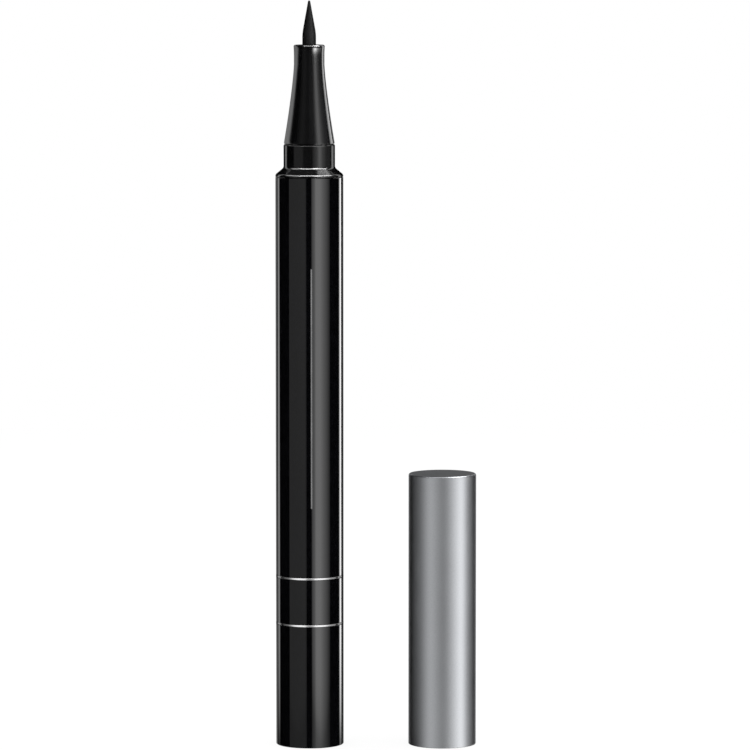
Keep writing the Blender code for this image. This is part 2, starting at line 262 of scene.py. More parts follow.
glossBlack = grainFinish("glossBlackLacquer", {
    "dark": (0.0006, 0.0006, 0.0008), "light": (0.0016, 0.0016, 0.002), "roughness": (0.035, 0.06),
    "grainSize": 0.9, "driftSize": 14.0, "bumpHeight": 0.0006,
})
satinBlack = grainFinish("satinBlackPlastic", {
    "dark": (0.0005, 0.0005, 0.0006), "light": (0.0016, 0.0016, 0.0018), "roughness": (0.11, 0.16),
    "ior": 2.0, "grainSize": 0.16, "driftSize": 5.0, "bumpHeight": 0.0012,
})
feltBlack = grainFinish("feltBlack", {
    "dark": (0.001, 0.001, 0.0012), "light": (0.007, 0.007, 0.0075), "roughness": (0.5, 0.7), "ior": 1.35,
    "grainSize": 0.16, "stretch": (1, 1, 0.06), "driftSize": 1.6, "driftShare": 0.25, "bumpHeight": 0.03,
})
brightSilver = grainFinish("brightSilver", {
    "dark": (0.80, 0.80, 0.81), "light": (0.90, 0.90, 0.90), "roughness": (0.12, 0.22), "metal": 1.0,
    "grainSize": 0.2, "driftSize": 3.0, "bumpHeight": 0.001,
})
foilSilver = grainFinish("foilSilver", {
    "dark": (0.40, 0.40, 0.405), "light": (0.50, 0.50, 0.505), "roughness": (0.16, 0.28), "metal": 1.0,
    "grainSize": 0.12, "driftSize": 4.0, "bumpHeight": 0.0015,
})
satinSilver = grainFinish("satinSilverLacquer", {
    "dark": (0.425, 0.435, 0.452), "light": (0.482, 0.494, 0.512), "roughness": (0.31, 0.38), "metal": 1.0,
    "grainSize": 0.2, "driftSize": 9.0, "driftShare": 0.3, "bumpHeight": 0.003,
})
milkyPlastic = grainFinish("milkyPlastic", {
    "dark": (0.66, 0.67, 0.64), "light": (0.76, 0.77, 0.74), "roughness": (0.34, 0.46), "depth": 0.15,
    "grainSize": 0.3, "driftSize": 8.0, "bumpHeight": 0.002,
})
greyPlastic = grainFinish("greyPlastic", {
    "dark": (0.085, 0.085, 0.093), "light": (0.115, 0.115, 0.126), "roughness": (0.4, 0.52),
    "grainSize": 0.22, "driftSize": 5.0, "bumpHeight": 0.003,
})
softWhite = grainFinish("softWhiteRubber", {
    "dark": (0.74, 0.74, 0.71), "light": (0.83, 0.83, 0.81), "roughness": (0.45, 0.58), "depth": 0.1,
    "grainSize": 0.25, "driftSize": 5.0, "bumpHeight": 0.003,
})
inkedFibre = grainFinish("inkedFibre", {
    "dark": (0.012, 0.012, 0.015), "light": (0.05, 0.05, 0.058), "roughness": (0.75, 0.95), "sheen": 0.2,
    "grainSize": 0.12, "stretch": (1, 1, 0.05), "driftSize": 2.0, "bumpHeight": 0.02,
})
springSteel = grainFinish("springSteel", {
    "dark": (0.52, 0.52, 0.53), "light": (0.66, 0.66, 0.67), "roughness": (0.2, 0.32), "metal": 1.0,
    "grainSize": 0.15, "driftSize": 2.5, "bumpHeight": 0.001,
})
print("finishes mixed")


# the barrel, its two bands and its printed rule

barrel = {
    "bore": 4.62,
    "topRounding": 0.06,
    "tailRounding": 0.15,
    "grooveSlack": 0.04,     # round each band
    "bandThickness": 0.14,
    "bandCrown": 0.09,       # rounding of a band's outer edges
    "bandCrease": 40,        # degrees
}


def makeBarrel():
    radius, top = radiusOf("barrel"), headOf("barrel")
    groove = radius - barrel["bandThickness"] - barrel["grooveSlack"]
    corners = [(barrel["bore"], top), (radius, top, barrel["topRounding"])]
    for band in ("upper_band", "lower_band"):
        head, foot = headOf(band) + barrel["grooveSlack"], footOf(band) - barrel["grooveSlack"]
        corners += [(radius, head), (groove, head), (groove, foot), (radius, foot)]
    corners += [(radius, footOf("barrel"), barrel["tailRounding"]), (barrel["bore"], footOf("barrel"))]
    piece = turnPiece("barrelTube", corners, segments=160, arcSteps=6)
    finishPiece(piece, "pen", "barrel", glossBlack)


def makeBand(name, node):
    radius, foot, head = radiusOf(node), footOf(node), headOf(node)
    inner = radius - barrel["bandThickness"]
    crown = barrel["bandCrown"]
    corners = [(inner, head), (radius, head, crown), (radius, foot, crown), (inner, foot)]
    piece = turnPiece(name, corners, segments=160, arcSteps=4, crease=barrel["bandCrease"])
    finishPiece(piece, "pen", node, brightSilver)


rule = {
    "foot": 38.6,
    "head": 76.83,
    "width": 0.22,
    "turn": 4.0,             # degrees round the barrel from the side that faces the camera
    "thickness": 0.02,
    "steps": 6,
}


def makeRule():
    # an upright edge is turned to its start, swept a little way round the barrel and given a thickness
    radius = radiusOf("barrel") + rule["thickness"] / 2
    piece = drawOutline("foilRule", [(radius, rule["foot"]), (radius, rule["head"])], False, 1)
    sweep = rule["width"] / radius
    startAngle = math.radians(rule["turn"] - 90) + sweep / 2
    bpy.ops.object.mode_set(mode="EDIT")
    bpy.ops.mesh.select_all(action="SELECT")
    bpy.ops.transform.rotate(value=-startAngle, orient_axis="Z", center_override=(0, 0, 0))
    bpy.ops.mesh.spin(steps=rule["steps"], angle=sweep, center=(0, 0, 0), axis=(0, 0, 1))
    bpy.ops.mesh.select_all(action="SELECT")
    bpy.ops.mesh.normals_make_consistent(inside=False)
    bpy.ops.object.mode_set(mode="OBJECT")
    skin = piece.modifiers.new("foil", "SOLIDIFY")
    skin.thickness = rule["thickness"] * mm
    skin.offset = 0
    bpy.ops.object.modifier_apply(modifier=skin.name)
    bpy.ops.object.shade_smooth_by_angle(angle=math.radians(creaseAngle))
    piece.data.materials.append(foilSilver)
    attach(piece, "pen")
    print("made", piece.name)


makeBarrel()
makeBand("upperBand", "upper_band")
makeBand("lowerBand", "lower_band")
makeRule()


# what fills the barrel

tailPlug = {"floor": 1.0, "skirtWall": 0.8, "rounding": 0.15, "gateDimple": 0.9, "gateDepth": 0.12}


def makeTailPlug():
    radius, foot, head = radiusOf("tail_plug"), footOf("tail_plug"), headOf("tail_plug")
    inner, floor, edge = radius - tailPlug["skirtWall"], tailPlug["floor"], tailPlug["rounding"]
    dimple, depth = tailPlug["gateDimple"], tailPlug["gateDepth"]
    corners = [
        (0, floor), (inner, floor, edge), (inner, head, edge / 2), (radius, head, edge), (radius, foot, edge),
        (dimple, foot, edge / 3), (dimple - depth, foot + depth, edge / 3), (0, foot + depth),
    ]
    piece = turnPiece("tailPlug", corners, closed=False, segments=96)
    finishPiece(piece, "pen", "tail_plug", glossBlack)


inkTank = {"wall": 0.5, "floor": 0.8, "rounding": 0.5, "lip": 0.08}


def makeInkTank():
    radius, foot, head = radiusOf("ink_tank"), footOf("ink_tank"), headOf("ink_tank")
    bore, floor = radius - inkTank["wall"], foot + inkTank["floor"]
    rounding, lip = inkTank["rounding"], inkTank["lip"]
    corners = [
        (0, floor), (bore, floor, rounding), (bore, head, lip), (radius, head, lip),
        (radius, foot, rounding), (0, foot),
    ]
    piece = turnPiece("inkTank", corners, closed=False, segments=72)
    finishPiece(piece, "pen", "ink_tank", milkyPlastic)


mixingBall = {"cuts": 11}


def makeMixingBall():
    # a finely cut cube is swollen to a sphere, then brought to the ball's size
    low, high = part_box("mixing_ball")
    bpy.ops.object.select_all(action="DESELECT")
    bpy.ops.mesh.primitive_cube_add(size=high.z - low.z, location=(low + high) / 2)
    piece = bpy.context.object
    piece.name = piece.data.name = "mixingBall"
    bpy.ops.object.mode_set(mode="EDIT")
    bpy.ops.mesh.select_all(action="SELECT")
    bpy.ops.mesh.subdivide(number_cuts=mixingBall["cuts"])
    bpy.ops.transform.tosphere(value=1.0)
    bpy.ops.object.mode_set(mode="OBJECT")
    radii = [vertex.co.length for vertex in piece.data.vertices]
    ratio = (high.z - low.z) / 2 / (sum(radii) / len(radii))
    bpy.ops.object.mode_set(mode="EDIT")
    bpy.ops.transform.resize(value=(ratio, ratio, ratio), center_override=(low + high) / 2)
    bpy.ops.object.mode_set(mode="OBJECT")
    bpy.ops.object.transform_apply(location=True, rotation=True, scale=True)
    bpy.ops.object.shade_smooth()
    finishPiece(piece, "ball", "mixing_ball", springSteel)


feedHolder = {
    "flange": 1.2, "plugRadius": 3.72, "recessWall": 0.9, "recessDepth": 2.0, "bore": 0.82, "edge": 0.15,
}


def makeFeedHolder():
    radius, foot, head = radiusOf("feed_holder"), footOf("feed_holder"), headOf("feed_holder")
    plug, bore, edge = feedHolder["plugRadius"], feedHolder["bore"], feedHolder["edge"]
    recess, recessTop = plug - feedHolder["recessWall"], foot + feedHolder["recessDepth"]
    flangeFoot = head - feedHolder["flange"]
    corners = [
        (bore, head, edge / 3), (radius, head, edge), (radius, flangeFoot, edge / 3),
        (plug, flangeFoot, edge / 3), (plug, foot, edge), (recess, foot, edge / 2),
        (recess, recessTop, edge), (bore, recessTop, edge / 3),
    ]
    piece = turnPiece("feedHolder", corners, segments=72, arcSteps=3)
    finishPiece(piece, "pen", "feed_holder", softWhite)


collector = {
    "bore": 0.82,
    "tube": 1.47,
    "finThickness": 0.9,
    "finPitch": 1.8,
    "slotWidth": 0.7,
    "slotStart": 1.67,       # from the axis
    "edge": 0.06,
}


def makeCollector():
    fin, foot, head = radiusOf("collector"), footOf("collector"), headOf("collector")
    bore, tube, edge = collector["bore"], collector["tube"], collector["edge"]
    thickness, pitch = collector["finThickness"], collector["finPitch"]
    corners = [(bore, head, edge)]
    for index in range(int((head - foot - thickness) / pitch) + 1):
        finHead = head - index * pitch
        finFoot = finHead - thickness
        if index > 0:
            corners.append((tube, finHead, edge))
        corners += [(fin, finHead, edge), (fin, finFoot, edge), (tube, finFoot, edge)]
    corners += [(tube, foot, edge), (bore, foot, edge)]
    piece = turnPiece("collectorComb", corners, segments=64, arcSteps=2)
    # the air slot runs down one side of the fins
    bpy.ops.object.select_all(action="DESELECT")
    middle = (collector["slotStart"] + fin / 2, 0, (head + foot) / 2)
    bpy.ops.mesh.primitive_cube_add(size=mm, location=[length * mm for length in middle])
    slotBar = bpy.context.object
    slotBar.scale = (fin, collector["slotWidth"], head - foot + pitch)
    bpy.ops.object.transform_apply(location=True, rotation=True, scale=True)
    bpy.ops.object.select_all(action="DESELECT")
    bpy.context.view_layer.objects.active = piece
    piece.select_set(True)
    cut = piece.modifiers.new("airSlot", "BOOLEAN")
    cut.operation = "DIFFERENCE"
    cut.solver = "EXACT"
    cut.object = slotBar
    bpy.ops.object.modifier_apply(modifier=cut.name)
    bpy.data.objects.remove(slotBar, do_unlink=True)
    bpy.ops.object.shade_smooth_by_angle(angle=math.radians(creaseAngle))
    evenShading(piece)
    finishPiece(piece, "pen", "collector", greyPlastic)


relayCore = {"rounding": 0.15}


def makeRelayCore():
    radius, foot, head = radiusOf("relay_core"), footOf("relay_core"), headOf("relay_core")
    rounding = relayCore["rounding"]
    corners = [(0, head), (radius, head, rounding), (radius, foot, rounding), (0, foot)]
    piece = turnPiece("relayCore", corners, closed=False, segments=48)
    finishPiece(piece, "pen", "relay_core", inkedFibre)


makeTailPlug()
makeInkTank()
makeMixingBall()
makeFeedHolder()
makeCollector()
makeRelayCore()


# the neck collar, the nozzle and the nib

neckCollar = {
    "neckRadius": 4.10,
    "neckFoot": 92.71,
    "topChamfer": 0.18,
    "chamferRounding": 0.05,
    "footRounding": 0.6,
    "rimTop": 91.64,         # outer edge of the shoulder bevel
    "rimRounding": 0.52,
    "rimShare": 0.8,         # of the short wall under it, for its rounding
    "rimFoot": 91.3,
    "stemRadius": 4.42,
    "stemBore": 3.62,
    "neckBore": 2.79,
    "ledge": 88.57,
    "edge": 0.15,
}


def makeNeckCollar():
    radius, foot, head = radiusOf("neck_collar"), footOf("neck_collar"), headOf("neck_collar")
    neck, chamfer, edge = neckCollar["neckRadius"], neckCollar["topChamfer"], neckCollar["edge"]
    rounding, rimFoot, ledge = neckCollar["chamferRounding"], neckCollar["rimFoot"], neckCollar["ledge"]
    stem, stemBore, neckBore = neckCollar["stemRadius"], neckCollar["stemBore"], neckCollar["neckBore"]
    corners = [
        (neckBore, head, edge / 3), (neck - chamfer, head, rounding), (neck, head - chamfer, rounding),
        (neck, neckCollar["neckFoot"], neckCollar["footRounding"]),
        (radius, neckCollar["rimTop"], neckCollar["rimRounding"], neckCollar["rimShare"]),
        (radius, rimFoot, edge / 3), (stem, rimFoot, edge / 3), (stem, foot, edge),
        (stemBore, foot, edge / 2), (stemBore, ledge, edge), (neckBore, ledge, edge / 3),
    ]
    piece = turnPiece("neckCollar", corners, segments=160, arcSteps=6)
    finishPiece(piece, "pen", "neck_collar", satinBlack)


nozzle = {
    "flareFoot": 96.57,
    "flareTop": 109.15,
    "flarePower": 1.3,       # 1 would be a straight cone
    "flareSteps": 22,
    "tipRadius": 2.43,
    "frontRounding": 0.28,
    "lipLean": 0.055,        # how far the wall leans out under the front rounding
    "lipCrown": 1.34,        # the front corner stands out by this many leans before it is rounded
    "lipLength": 1.5,        # down the wall, over which the lean dies away
    "lipSteps": (0.2, 0.35, 0.5, 0.65, 0.8, 1.0),
    "footEdge": 0.05,
    "nibBore": 1.19,
    "boreDepth": 4.0,        # from the front to the wider bore
    "bore": 1.79,
    "stemRadius": 2.59,
    "edge": 0.12,
}


def makeNozzle():
    base, foot, head = radiusOf("nozzle"), footOf("nozzle"), headOf("nozzle")
    flareFoot, flareTop = nozzle["flareFoot"], nozzle["flareTop"]
    tip, lean, rounding = nozzle["tipRadius"], nozzle["lipLean"], nozzle["frontRounding"]
    nibBore, bore, boreHead = nozzle["nibBore"], nozzle["bore"], head - nozzle["boreDepth"]
    stem, edge = nozzle["stemRadius"], nozzle["edge"]
    corners = [(nibBore, head, edge / 2), (tip + nozzle["lipCrown"] * lean, head, rounding)]
    for down in nozzle["lipSteps"]:
        corners.append((tip + lean * (1 - down) ** 2, head - rounding - nozzle["lipLength"] * down))
    for step in range(nozzle["flareSteps"] + 1):
        down = step / nozzle["flareSteps"]
        radius = tip + (base - tip) * down ** nozzle["flarePower"]
        corners.append((radius, flareTop - (flareTop - flareFoot) * down))
    corners[-1] += (nozzle["footEdge"],)
    corners += [(stem, flareFoot), (stem, foot, edge), (bore, foot), (bore, boreHead), (nibBore, boreHead)]
    piece = turnPiece("nozzleCone", corners, segments=128, arcSteps=5)
    finishPiece(piece, "pen", "nozzle", satinBlack)


nibHolder = {"bore": 1.19, "coreBore": 0.82, "ledge": 98.02, "edge": 0.1}


def makeNibHolder():
    radius, foot, head = radiusOf("nib_holder"), footOf("nib_holder"), headOf("nib_holder")
    bore, coreBore = nibHolder["bore"], nibHolder["coreBore"]
    ledge, edge = nibHolder["ledge"], nibHolder["edge"]
    corners = [
        (bore, head, edge / 2), (radius, head, edge), (radius, foot, edge),
        (coreBore, foot, edge / 2), (coreBore, ledge), (bore, ledge),
    ]
    piece = turnPiece("nibHolder", corners, segments=64)
    finishPiece(piece, "pen", "nib_holder", greyPlastic)


nib = {"taperLength": 5.2, "tipRadius": 0.16, "shoulderRounding": 7.0, "arcSteps": 10}


def makeNib():
    radius, root, tip = radiusOf("nib"), footOf("nib"), headOf("nib")
    corners = [
        (0, tip), (nib["tipRadius"], tip, nib["tipRadius"]),
        (radius, tip - nib["taperLength"], nib["shoulderRounding"]),
        (radius, root, nib["tipRadius"]), (0, root),
    ]
    piece = turnPiece("feltNib", corners, closed=False, segments=72, arcSteps=nib["arcSteps"])
    finishPiece(piece, "pen", "nib", feltBlack)


makeNeckCollar()
makeNozzle()
makeNibHolder()
makeNib()


# the cap

capShell = {"wall": 0.45, "top": 0.7, "topRounding": 0.3, "mouthRounding": 0.08}


def makeCapShell():
    radius, head = radiusOf("cap_shell"), headOf("cap_shell")
    bore, ceiling = radius - capShell["wall"], head - capShell["top"]
    rounding, lip = capShell["topRounding"], capShell["mouthRounding"]
    corners = [
        (0, head), (radius, head, rounding), (radius, 0, lip), (bore, 0, lip),
        (bore, ceiling, rounding / 2), (0, ceiling),
    ]
    piece = turnPiece("capShell", corners, closed=False, segments=160, arcSteps=8, axis=axisOf("cap_shell"))
    finishPiece(piece, "cap", "cap_shell", satinSilver)


capLiner = {
    "bore": 4.25,
    "guideBore": 3.87,
    "springRoom": 4.37,
    "leadIn": 0.2,
    "mouthTop": 7.8,
    "guideLedge": 27.305,
    "beadReach": 0.08,
    "beadFoot": 3.1,
    "beadHead": 3.9,
    "edge": 0.1,
}


def makeCapLiner():
    radius, foot, head = radiusOf("cap_liner"), footOf("cap_liner"), headOf("cap_liner")
    bore, guideBore, springRoom = capLiner["bore"], capLiner["guideBore"], capLiner["springRoom"]
    mouthTop, ledge = capLiner["mouthTop"], capLiner["guideLedge"]
    bead, beadFoot, beadHead = capLiner["beadReach"], capLiner["beadFoot"], capLiner["beadHead"]
    leadIn, edge = capLiner["leadIn"], capLiner["edge"]
    corners = [
        (springRoom, head, edge), (radius, head, edge), (radius, foot, edge / 2),
        (bore + leadIn, foot, edge / 2), (bore, foot + leadIn, edge),
        (bore, beadFoot - bead), (bore - bead, beadFoot, edge),
        (bore - bead, beadHead, edge), (bore, beadHead + bead),
        (bore, mouthTop, edge), (guideBore, mouthTop, edge / 2),
        (guideBore, ledge, edge / 2), (springRoom, ledge, edge / 2),
    ]
    piece = turnPiece("capLiner", corners, segments=128, arcSteps=3, axis=axisOf("cap_liner"))
    finishPiece(piece, "cap", "cap_liner", greyPlastic)


innerCap = {
    "outer": 3.67,
    "wall": 0.44,
    "flangeFoot": 27.605,
    "flangeHead": 28.605,
    "bossRadius": 2.68,
    "lip": 0.147,
}


def makeInnerCap():
    flange, foot, head = radiusOf("inner_cap"), footOf("inner_cap"), headOf("inner_cap")
    lip, outer, boss = innerCap["lip"], innerCap["outer"], innerCap["bossRadius"]
    bore, ceiling, flangeHead = outer - innerCap["wall"], innerCap["flangeFoot"], innerCap["flangeHead"]
    corners = [
        (0, head), (boss, head, lip), (boss, flangeHead, lip / 2), (flange, flangeHead, lip),
        (flange, ceiling, lip / 2), (outer, ceiling, lip / 2), (outer, foot, lip),
        (bore + lip, foot, lip / 2), (bore, foot + lip, lip), (bore, ceiling, lip), (0, ceiling),
    ]
    piece = turnPiece("innerCap", corners, closed=False, segments=96, axis=axisOf("inner_cap"))
    finishPiece(piece, "inner_cap", "inner_cap", softWhite)


capSpring = {"wireRadius": 0.25, "turns": 7, "wireSides": 10, "turnSteps": 48, "crease": 45}


def makeCapSpring():
    low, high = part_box("cap_spring")
    wire = capSpring["wireRadius"] * mm
    coil, axis = (high.x - low.x) / 2 - wire, axisOf("cap_spring") * mm
    bpy.ops.object.select_all(action="DESELECT")
    bpy.ops.mesh.primitive_circle_add(vertices=capSpring["wireSides"], radius=wire, fill_type="NGON",
                                      rotation=(math.pi / 2, 0, 0), location=(coil, 0, low.z + wire))
    piece = bpy.context.object
    piece.name = piece.data.name = "capSpring"
    bpy.ops.object.transform_apply(location=True, rotation=True, scale=True)
    pick(piece, lambda face: True, "FACE")
    bpy.ops.mesh.delete(type="ONLY_FACE")
    bpy.ops.object.mode_set(mode="OBJECT")
    winding = piece.modifiers.new("winding", "SCREW")
    winding.angle = math.tau * capSpring["turns"]
    winding.screw_offset = high.z - low.z - 2 * wire
    winding.steps = winding.render_steps = capSpring["turns"] * capSpring["turnSteps"]
    winding.use_merge_vertices = False
    bpy.ops.object.modifier_apply(modifier=winding.name)
    # the wire's two open ends are closed, each with one flat face
    bpy.ops.object.mode_set(mode="EDIT")
    bpy.ops.mesh.select_mode(type="EDGE")
    bpy.ops.mesh.select_all(action="DESELECT")
    bpy.ops.mesh.select_non_manifold(extend=False, use_wire=False, use_boundary=True, use_multi_face=False,
                                     use_non_contiguous=False, use_verts=False)
    bpy.ops.mesh.edge_face_add()
    bpy.ops.mesh.select_all(action="SELECT")
    bpy.ops.mesh.normals_make_consistent(inside=False)
    bpy.ops.transform.translate(value=(axis, 0, 0))
    bpy.ops.object.mode_set(mode="OBJECT")
    bpy.ops.object.shade_smooth_by_angle(angle=math.radians(capSpring["crease"]))
    piece.data.materials.append(springSteel)
    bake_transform(piece)
    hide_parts("cap_spring")
    print("made", piece.name, len(piece.data.polygons), "faces")


makeCapShell()
makeCapLiner()
makeInnerCap()
makeCapSpring()


# the studio

studio = {
    "ambient": 0.45,         # world as surfaces see it, 1 is white
    "floorSize": 6.0,        # metres
    "floorDrop": 0.00002,    # metres under the pieces that stand on it
    "floorGlow": 0.88,       # share of the floor that is plain white to the eye, the rest takes shadow
    "floorFade": (0.12, 0.5),   # metres from the pieces, over which the whole floor turns plain white
    "floorWhite": 0.9,
    "floorRoughness": 0.9,
    "floorLampLevel": 1.9,
    "floorLampHeight": 2.0,  # metres
    "floorLampSize": 4.0,    # metres
    "tentRadius": 0.75,      # metres
    "tentSegments": 48,
    "tentRings": 24,
    "lampDistance": 0.30,    # metres from the axis that an upright lamp faces
    "lampLength": 0.80,      # metres, the lower half below the ground, as reflections run on there
    "topDistance": 0.38,     # metres from the top of a group to its lamps overhead
    "levelLimit": 20.0,      # the highest level that a lamp's steps can give
}

# Which pieces a lamp lights. The barrel's group takes all that no other group names.
litGroups = {
    "cap": ("capShell", "capLiner", "innerCap", "capSpring"),
    "bands": ("upperBand", "lowerBand", "foilRule"),
    "collar": ("neckCollar",),
    "cone": ("nozzleCone", "nibHolder"),
    "nib": ("feltNib",),
}

# Lamps that stand upright round the axis of their group. A step is (angle, brightness): degrees from
# the camera's side, to the right, and 1 is white. A fall is one of those listed further down. A lean is
# (height in metres at which the steps hold, degrees by which they turn to the left for each metre above it).
uprightLamps = [
    {"name": "barrelLeftPanel", "lights": "barrel", "fall": "gentle",
     "steps": [(-72, 0.40), (-16, 0.48), (-10, 0.3)]},
    {"name": "barrelRightPanel", "lights": "barrel", "fall": "slow",
     "steps": [(7, 0.15), (8.2, 0.6), (9.5, 1.05), (14.2, 1.65), (17.6, 1.95), (21, 3.05), (24.5, 3.4),
               (36, 3.3), (50, 2.0), (66, 0.8), (74, 0.2)]},
    {"name": "barrelRightStrip", "lights": "barrel", "fall": "fast",
     "steps": [(121, 3.0), (126, 4.9), (131, 7.2), (136, 8.2)]},
    {"name": "barrelLeftStrip", "lights": "barrel", "fall": "fast", "steps": [(-135, 1.5), (-122, 1.4)]},
    {"name": "barrelBackRight", "lights": "barrel", "steps": [(142, 0.07), (158, 0.1), (178, 0.3)]},
    {"name": "barrelBackLeft", "lights": "barrel", "steps": [(-178, 0.3), (-142, 0.3)]},
    {"name": "bandLeftPanel", "lights": "bands",
     "steps": [(-100, 0.08), (-75, 0.14), (-65, 0.5), (-55, 0.85), (-42, 1.1), (-15, 1.0), (-8, 0.3),
               (0, 0.3)]},
    {"name": "bandRightPanel", "lights": "bands",
     "steps": [(0, 0.3), (12, 0.42), (20, 1.1), (50, 1.15), (62, 0.7), (72, 0.4), (82, 0.32), (100, 0.3)]},
    {"name": "bandRightStrip", "lights": "bands", "steps": [(114, 0.35), (140, 0.4)]},
    {"name": "bandLeftStrip", "lights": "bands", "steps": [(-140, 0.4), (-118, 0.3)]},
    {"name": "collarLeftPanel", "lights": "collar",
     "steps": [(-72, 0.12), (-31, 0.12), (-24, 0.03), (12, 0.025)]},
    {"name": "collarRightPanel", "lights": "collar",
     "steps": [(14, 0.07), (22, 0.18), (32.7, 0.31), (37.4, 0.41), (42, 0.62), (46.6, 0.84), (51.5, 0.71),
               (56.5, 0.56), (62, 0.36), (73, 0.25), (79, 0.15), (88, 0.10), (108, 0.09)]},
    {"name": "collarRightStrip", "lights": "collar", "steps": [(119, 0.95), (138, 0.8)]},
    {"name": "collarLeftStrip", "lights": "collar", "steps": [(-136, 0.85), (-122, 0.85)]},
    {"name": "coneLeftPanel", "lights": "cone",
     "steps": [(-60, 0.01), (-46, 0.035), (-36, 0.055), (-26, 0.045), (-16, 0.022), (-4, 0.016), (6, 0.04),
               (24, 0.045)]},
    {"name": "coneRightPanel", "lights": "cone", "fall": "lip",
     "steps": [(24, 0.03), (31.5, 0.2), (39, 0.52), (45, 0.74), (51, 0.72), (57, 0.5), (65, 0.28), (73, 0.15),
               (82, 0.09), (100, 0.06)]},
    {"name": "coneRightStrip", "lights": "cone", "steps": [(112, 1.0), (118, 1.7), (126, 2.2), (136, 2.4)]},
    {"name": "coneLeftStrip", "lights": "cone", "lean": (0.102, 190),
     "steps": [(-150, 0.35), (-138, 0.5), (-125, 0.75), (-112, 0.9), (-101, 0.85), (-95, 0.42), (-88, 0.06),
               (-82, 0.0), (-60, 0.0)]},
    {"name": "coneBackRight", "lights": "cone", "steps": [(146, 0.25), (178, 0.25)]},
    {"name": "coneBackLeft", "lights": "cone", "steps": [(-178, 0.25), (-142, 0.25)]},
    {"name": "nibRightPanel", "lights": "nib", "steps": [(34, 2.5), (46, 5.0), (64, 5.0)]},
    {"name": "nibLeftPanel", "lights": "nib", "steps": [(-60, 0.25), (20, 0.35)]},
    {"name": "capLeftWing", "lights": "cap", "fall": "cap", "steps": [(-125, 0.0), (-90, 0.1), (-65, 0.44)]},
    {"name": "capLeftPanel", "lights": "cap", "fall": "cap",
     "steps": [(-65, 0.44), (-42, 0.87), (-20, 0.58), (0, 0.31)]},
    {"name": "capRightPanel", "lights": "cap", "fall": "cap",
     "steps": [(0, 0.31), (15, 0.41), (35, 0.95), (55, 1.52), (65, 2.1)]},
    {"name": "capRightWing", "lights": "cap", "fall": "cap",
     "steps": [(65, 2.1), (78, 1.38), (90, 0.55), (110, 0.2), (128, 0.08)]},
    {"name": "capBack", "lights": "cap",
     "steps": [(150, 0.4), (166, 0.32), (175, 0.04), (185, 0.04), (194, 0.32), (210, 0.4)]},
]

# Lamps overhead: name, group that it lights, bearing and height angle in degrees as seen from the top
# of that group, size in metres, brightness
topLamps = [
    ("bandFrontTop", "bands", 0, 45, (0.5, 0.2), 1.2),
    ("collarTopBack", "collar", 146, 63, (0.17, 0.17), 1.35),
    ("collarCeiling", "collar", 0, 90, (0.6, 0.6), 0.04),
    ("collarFrontTop", "collar", 0, 57, (0.46, 0.17), 6.0),
    ("collarRightTop", "collar", 60, 48, (0.42, 0.17), 6.0),
    ("collarLeftTop", "collar", -74, 46, (0.3, 0.17), 2.3),
    ("coneCeiling", "cone", 0, 90, (0.6, 0.6), 0.14),
    ("coneFrontTop", "cone", -5, 50, (0.5, 0.15), 9.0),
    ("coneRightTop", "cone", 63, 40, (0.32, 0.18), 22.0),
    ("capTopFront", "cap", 0, 60, (0.7, 0.2), 1.4),
    ("capTopRight", "cap", 86, 56, (0.4, 0.24), 3.9),
    ("capTopOver", "cap", 0, 100, (0.4, 0.25), 0.36),
    ("capTopBack", "cap", 180, 14, (0.6, 0.14), 0.05),
]

# How upright lamps change upwards. A step is (height in metres, share of the brightness).
# The lip's high shares are seen only by the nozzle's front lip, which leans out. The cap's panels fade
# above what its wall mirrors from the front, so that its top keeps its tone from behind.
lampFalls = {
    "lip": [(0.0, 1.0), (0.02, 17.0), (0.062, 17.0), (0.07, 12.5), (0.077, 8.0), (0.084, 4.0), (0.09, 1.4),
            (0.094, 0.65), (0.106, 0.65), (0.12, 1.0)],
    "cap": [(0.07, 1.06), (0.12, 0.4)],
    "gentle": [(-0.0495, 0.72), (-0.0433, 0.95), (-0.0354, 1.0)],
    "slow": [(-0.0495, 0.45), (-0.0433, 0.8), (-0.0354, 0.97), (-0.0274, 1.0)],
    "fast": [(-0.0494, 0.12), (-0.0427, 0.5), (-0.0347, 0.78), (-0.0269, 0.97), (-0.019, 1.0)],
}


def makeLitGroups():
    groups = {name: bpy.data.collections.new(name + "Lit") for name in ("barrel", "floor", "pen", *litGroups)}
    homes = {piece: name for name, members in litGroups.items() for piece in members}
    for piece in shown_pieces():
        home = homes.get(piece.name, "barrel")
        groups[home].objects.link(piece)
        if home != "cap":
            groups["pen"].objects.link(piece)
        # the pen's gloss shows no mirror image of the cap beside it
        piece.visible_glossy = home != "cap"
    return groups


def placeLamp(name, spot, target, size, brightness, groups, lit):
    # the cap and the pen throw no shadow on each other
    bpy.ops.object.light_add(type="AREA", location=spot)
    lamp = bpy.context.object
    lamp.name = name
    lamp.rotation_euler = (Vector(target) - Vector(spot)).to_track_quat("-Z", "Y").to_euler()
    lamp.data.shape = "RECTANGLE"
    lamp.data.size, lamp.data.size_y = size
    lamp.data.energy = math.pi * size[0] * size[1] * brightness
    lamp.visible_camera = False
    lamp.light_linking.receiver_collection = groups[lit]
    if lit != "floor":
        lamp.light_linking.blocker_collection = groups["cap" if lit == "cap" else "pen"]
    return lamp


def mathNode(tree, operation, terms, clamp=False):
    # the terms are sockets or plain numbers
    node = tree.nodes.new("ShaderNodeMath")
    node.operation = operation
    node.use_clamp = clamp
    for term, socket in zip(terms, node.inputs):
        if isinstance(term, float):
            socket.default_value = term
        else:
            tree.links.new(term, socket)
    return node.outputs[0]


